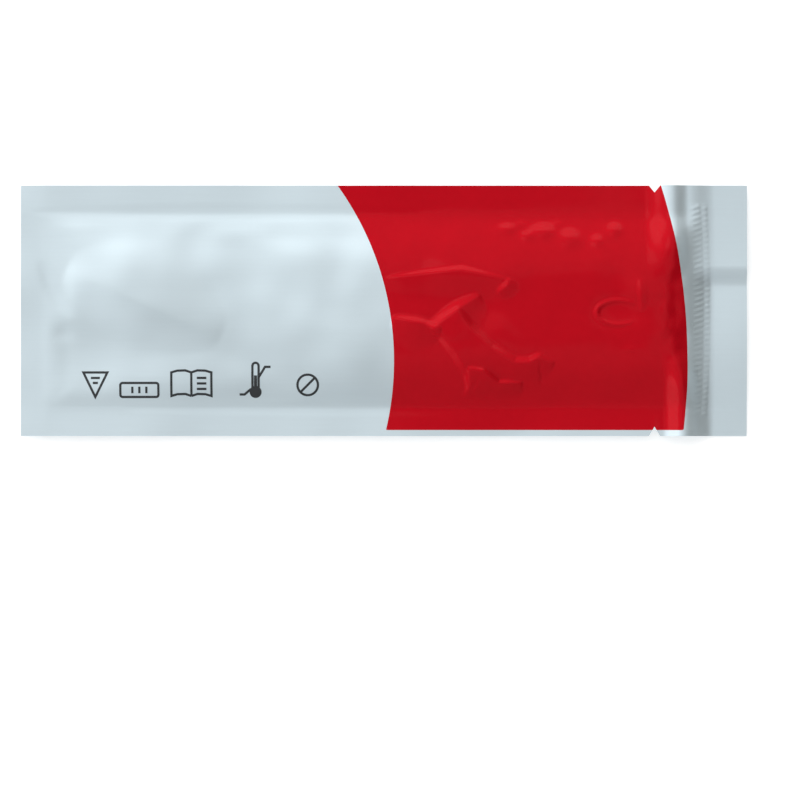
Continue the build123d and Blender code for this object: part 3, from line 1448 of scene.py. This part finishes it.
@dataclass(frozen=True)
class Studio:
    """Plain studio: a pale floor, a light tent that is open at one side, a softbox and the camera.

    Attributes:
        view_middle: Place of the picture's centre.
        view_width: Width of the picture at the pouch.
        camera_height: Height of the camera.
        sensor: Width of the camera's sensor.
        tent: Angles from straight up, in degrees, each with the cloth's brightness, dim round the camera.
        tent_side: Way to the tent's bright side.
        tent_turn: How far towards the dim and the bright side the cloth reaches its full change.
        tent_change: Factor of the cloth's brightness on the dim side and on the bright side.
        tent_colour: Colour of the cloth's light.
        strip: The same for the lit strip low on the tent's wall.
        strip_side: Way to the middle of the strip.
        strip_turn: How far towards its middle the strip starts, and where it is full.
        open_side: Way to the tent's open side.
        open_turn: How far towards the open side the opening starts, and where it is full.
        open_colour: Colour that the opening leaves of the tent's light.
        box_place: Centre of the softbox, which faces the pouch.
        box_side: Side of the square softbox.
        box_glow: Power of the softbox for each square metre, in watts.
        floor_half: Half the side of the square floor.
        floor_drop: Depth of the floor below the pouch.
        floor_grey: Share of the light that the floor sends back.
        floor_glow: Light that makes the floor look white, where it is seen or mirrored.
    """

    view_middle: Point = (3.2, -17.8)
    view_width: float = 160.0
    camera_height: float = 900.0
    sensor: float = 36.0
    tent: Path = ((0.0, 0.5), (7.0, 0.5), (11.0, 1.0), (78.0, 1.0), (86.0, 0.6))
    tent_side: tuple[float, float, float] = (0.3, 0.954, 0.0)
    tent_turn: Point = (-0.6, 0.1)
    tent_change: Point = (0.72, 0.94)
    tent_colour: str = "#FFFFFF"
    strip: Path = ((51.0, 0.0), (56.0, 1.7), (75.0, 1.7), (83.0, 0.0))
    strip_side: tuple[float, float, float] = (-0.45, 0.893, 0.0)
    strip_turn: Point = (-0.35, -0.1)
    open_side: tuple[float, float, float] = (1.0, 0.0, 0.0)
    open_turn: Point = (0.4, 0.78)
    open_colour: str = "#6A645C"
    box_place: tuple[float, float, float] = (-300.0, 400.0, 900.0)
    box_side: float = 400.0
    box_glow: float = 3.0
    floor_half: float = 1500.0
    floor_drop: float = 0.02
    floor_grey: float = 0.92
    floor_glow: float = 0.3

    def camera(self) -> None:
        """Adds the camera, straight above the pouch, with a long lens."""
        data = bpy.data.cameras.new("camera")
        data.sensor_width = self.sensor
        data.lens = self.sensor * self.camera_height / self.view_width
        eye = place_object("camera", data)
        eye.location = Vector((*self.view_middle, self.camera_height)) * MM
        bpy.context.scene.camera = eye

    @staticmethod
    def _glow(
        tree: bpy.types.NodeTree, angle: bpy.types.NodeSocket, profile: Path, share: bpy.types.NodeSocket
    ) -> bpy.types.NodeSocket:
        """Works out the light of one layer of the tent.

        Args:
            tree: Node tree of the world.
            angle: Angle from straight up, in radians.
            profile: Angles in degrees, each with its brightness, which changes evenly between them.
            share: Factor of the brightness.

        Returns:
            The layer's light.
        """
        level: float | bpy.types.NodeSocket = profile[0][1]
        for (start, low), (end, high) in zip(profile, profile[1:]):
            change = add_node(
                tree,
                "ShaderNodeMapRange",
                inputs={0: angle, 1: math.radians(start), 2: math.radians(end), 3: 0.0, 4: high - low},
            )
            total = add_node(tree, "ShaderNodeMath", {"operation": "ADD"}, {0: level, 1: change.outputs[0]})
            level = total.outputs[0]
        return add_node(tree, "ShaderNodeMath", {"operation": "MULTIPLY"}, {0: level, 1: share}).outputs[0]

    def sky(self) -> None:
        """Adds the light tent as the world's light."""
        world = bpy.data.worlds.new("light_tent")
        world.use_nodes = True
        tree = world.node_tree
        tree.nodes.clear()
        way = add_node(tree, "ShaderNodeTexCoord").outputs["Generated"]
        upward = add_node(tree, "ShaderNodeSeparateXYZ", inputs={0: way}).outputs[2]
        angle = add_node(tree, "ShaderNodeMath", {"operation": "ARCCOSINE"}, {0: upward}).outputs[0]
        from_none_to_all = (0.0, 1.0)
        shares: list[bpy.types.NodeSocket] = []
        for side, turn, change in (
            (self.tent_side, self.tent_turn, self.tent_change),
            (self.strip_side, self.strip_turn, from_none_to_all),
            (self.open_side, self.open_turn, from_none_to_all),
        ):
            lean = add_node(tree, "ShaderNodeVectorMath", {"operation": "DOT_PRODUCT"}, {0: way, 1: side})
            ends = {1: turn[0], 2: turn[1], 3: change[0], 4: change[1]}
            share = add_node(tree, "ShaderNodeMapRange", inputs={0: lean.outputs["Value"], **ends})
            shares.append(share.outputs[0])
        cloth = self._glow(tree, angle, self.tent, shares[0])
        strip = self._glow(tree, angle, self.strip, shares[1])
        glow = add_node(tree, "ShaderNodeMath", {"operation": "ADD"}, {0: cloth, 1: strip})
        colour = add_node(
            tree,
            "ShaderNodeMix",
            {"data_type": "RGBA"},
            {0: shares[2], 6: linear_colour(self.tent_colour), 7: linear_colour(self.open_colour)},
        )
        light = add_node(
            tree, "ShaderNodeBackground", inputs={"Color": colour.outputs[2], "Strength": glow.outputs[0]}
        )
        add_node(tree, "ShaderNodeOutputWorld", inputs={0: light.outputs[0]})
        bpy.context.scene.world = world

    def softbox(self) -> None:
        """Adds the softbox, high up and turned to the pouch."""
        data = bpy.data.lights.new("softbox", "AREA")
        data.size = self.box_side * MM
        data.energy = self.box_glow * data.size**2
        box = place_object("softbox", data)
        box.location = Vector(self.box_place) * MM
        box.rotation_euler = box.location.to_track_quat("Z", "Y").to_euler()

    def floor(self) -> None:
        """Adds the pale floor."""
        material, tree = new_material("white_paper_floor")
        grey = self.floor_grey
        paper = add_node(tree, "ShaderNodeBsdfDiffuse", inputs={"Color": (grey, grey, grey, 1.0)})
        glow = add_node(tree, "ShaderNodeEmission", inputs={"Strength": self.floor_glow})
        white = add_node(tree, "ShaderNodeAddShader", inputs={0: paper.outputs[0], 1: glow.outputs[0]})
        ray = add_node(tree, "ShaderNodeLightPath").outputs
        mirrored = add_node(
            tree,
            "ShaderNodeMath",
            {"operation": "MAXIMUM"},
            {0: ray["Is Glossy Ray"], 1: ray["Is Transmission Ray"]},
        )
        seen = add_node(
            tree,
            "ShaderNodeMath",
            {"operation": "MAXIMUM"},
            {0: ray["Is Camera Ray"], 1: mirrored.outputs[0]},
        )
        both = add_node(
            tree,
            "ShaderNodeMixShader",
            inputs={0: seen.outputs[0], 1: paper.outputs[0], 2: white.outputs[0]},
        )
        add_node(tree, "ShaderNodeOutputMaterial", inputs={"Surface": both.outputs[0]})
        half = self.floor_half
        corners = np.array([(-half, -half, 0.0), (half, -half, 0.0), (half, half, 0.0), (-half, half, 0.0)])
        ground = mesh_object("floor", corners, [[0, 1, 2, 3]], (material,))
        ground.location.z = -self.floor_drop * MM

    def build(self) -> None:
        """Builds the whole studio."""
        self.camera()
        self.sky()
        self.softbox()
        self.floor()
        bpy.context.scene.view_settings.view_transform = "Standard"


def main() -> None:
    """Loads the frame, builds the pouch and its print, and sets up the studio."""
    logging.basicConfig(level=logging.INFO, format="%(name)s: %(message)s")
    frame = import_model()
    film = PouchFilm(frame["nodes"][NODE])
    pouch = film.build(RolledFoil().material(), RedPrint().material())
    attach(pouch, BODY)
    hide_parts(NODE)
    signs = Pictograms(film).build(DarkInk().material())
    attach(signs, BODY)
    for piece in (pouch, signs):
        triangles = sum(len(face.vertices) - 2 for face in piece.data.polygons)
        LOG.info("%s: %d points, %d triangles", piece.name, len(piece.data.vertices), triangles)
    Studio().build()


if __name__ == "__main__":
    main()
